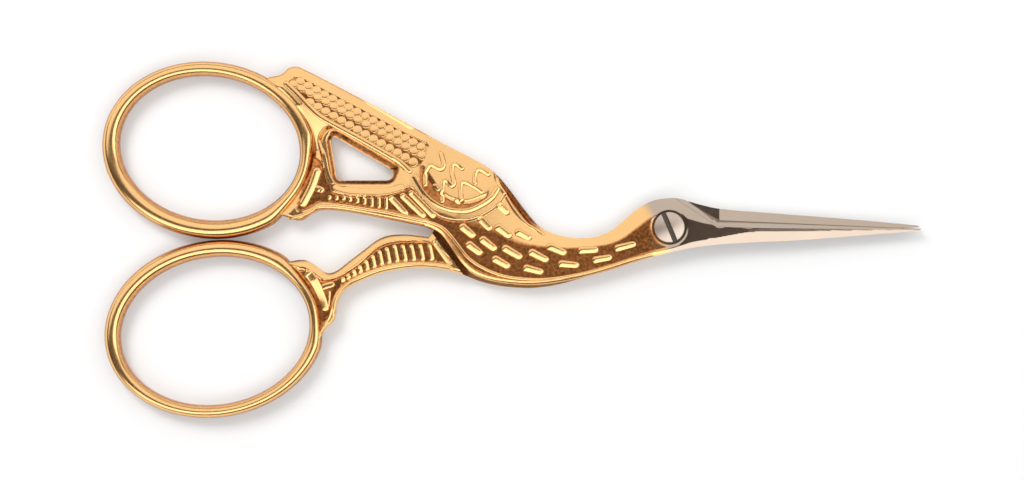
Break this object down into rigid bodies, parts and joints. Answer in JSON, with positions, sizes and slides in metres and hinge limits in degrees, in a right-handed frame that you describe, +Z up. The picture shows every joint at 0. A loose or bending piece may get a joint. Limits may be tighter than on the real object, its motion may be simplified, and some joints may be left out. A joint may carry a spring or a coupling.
{
  "type": "stork embroidery scissors",
  "caption": "Small pointed embroidery scissors shaped like a stork, with oval finger rings and lapped halves that turn on a slotted pivot screw.",
  "frame": {"origin": "on the pivot axis, in the flat back that the scissors rest on", "axes": "+X from the pivot to the blade tips along the closed blades, +Y to the side of the stork's wing, +Z up through the screw head"},
  "size_m": [0.1148, 0.05, 0.0034],
  "materials": {
    "gold_plate": "bright gold plating on forged steel, ground bare from the head to the tips",
    "bright_steel": "turned and polished steel"
  },
  "bodies": {
    "leg_side": {"leg_half": "gold_plate", "pivot_screw": "bright_steel"},
    "stork_side": {"stork_half": "gold_plate"}
  },
  "joints": [
    {"name": "pivot", "type": "hinge", "parent": "leg_side", "child": "stork_side", "pos_m": [0, 0, 0.0016], "axis": [0, 0, -1], "range_deg": [0, 90]}
  ]
}
